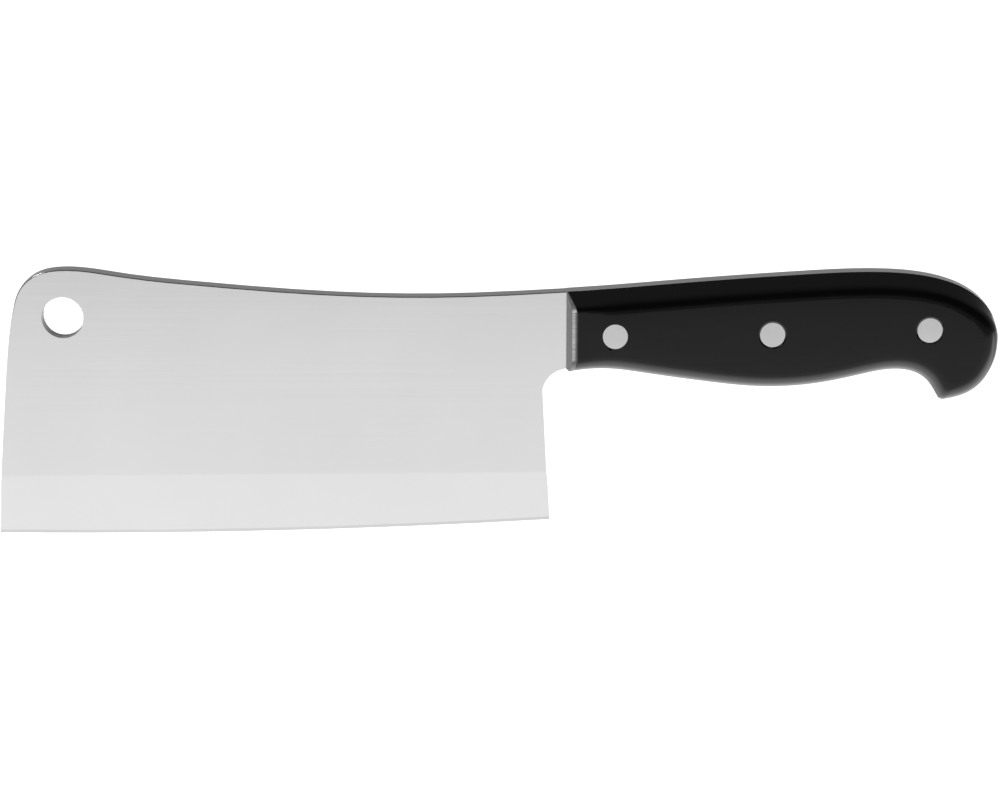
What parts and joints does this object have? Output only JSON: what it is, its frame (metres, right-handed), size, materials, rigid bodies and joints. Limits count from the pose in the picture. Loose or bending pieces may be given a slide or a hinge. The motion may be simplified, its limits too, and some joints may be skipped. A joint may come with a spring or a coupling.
{
  "type": "meat cleaver",
  "caption": "Forged meat cleaver with a wide bevelled blade, hanging hole, short bolster, full tang and a riveted two-scale handle with a hooked butt.",
  "frame": {"origin": "middle of the overall length and thickness, level with the lowest point of the cutting edge", "axes": "+X from the blade's toe towards the handle's butt, +Y towards the right side, +Z from the cutting edge up to the spine"},
  "size_m": [0.2748, 0.0184, 0.0755],
  "materials": {
    "blade_steel": "fine satin, ground lengthways",
    "handle_plastic": "black, moulded and polished",
    "rivet_metal": "satin, ground flush"
  },
  "bodies": {
    "root": {"blade_forging": "blade_steel", "left_scale": "handle_plastic", "right_scale": "handle_plastic", "rivet_pin_front": "rivet_metal", "rivet_sleeve_front": "rivet_metal", "rivet_pin_middle": "rivet_metal", "rivet_sleeve_middle": "rivet_metal", "rivet_pin_rear": "rivet_metal", "rivet_sleeve_rear": "rivet_metal"}
  },
  "joints": []
}
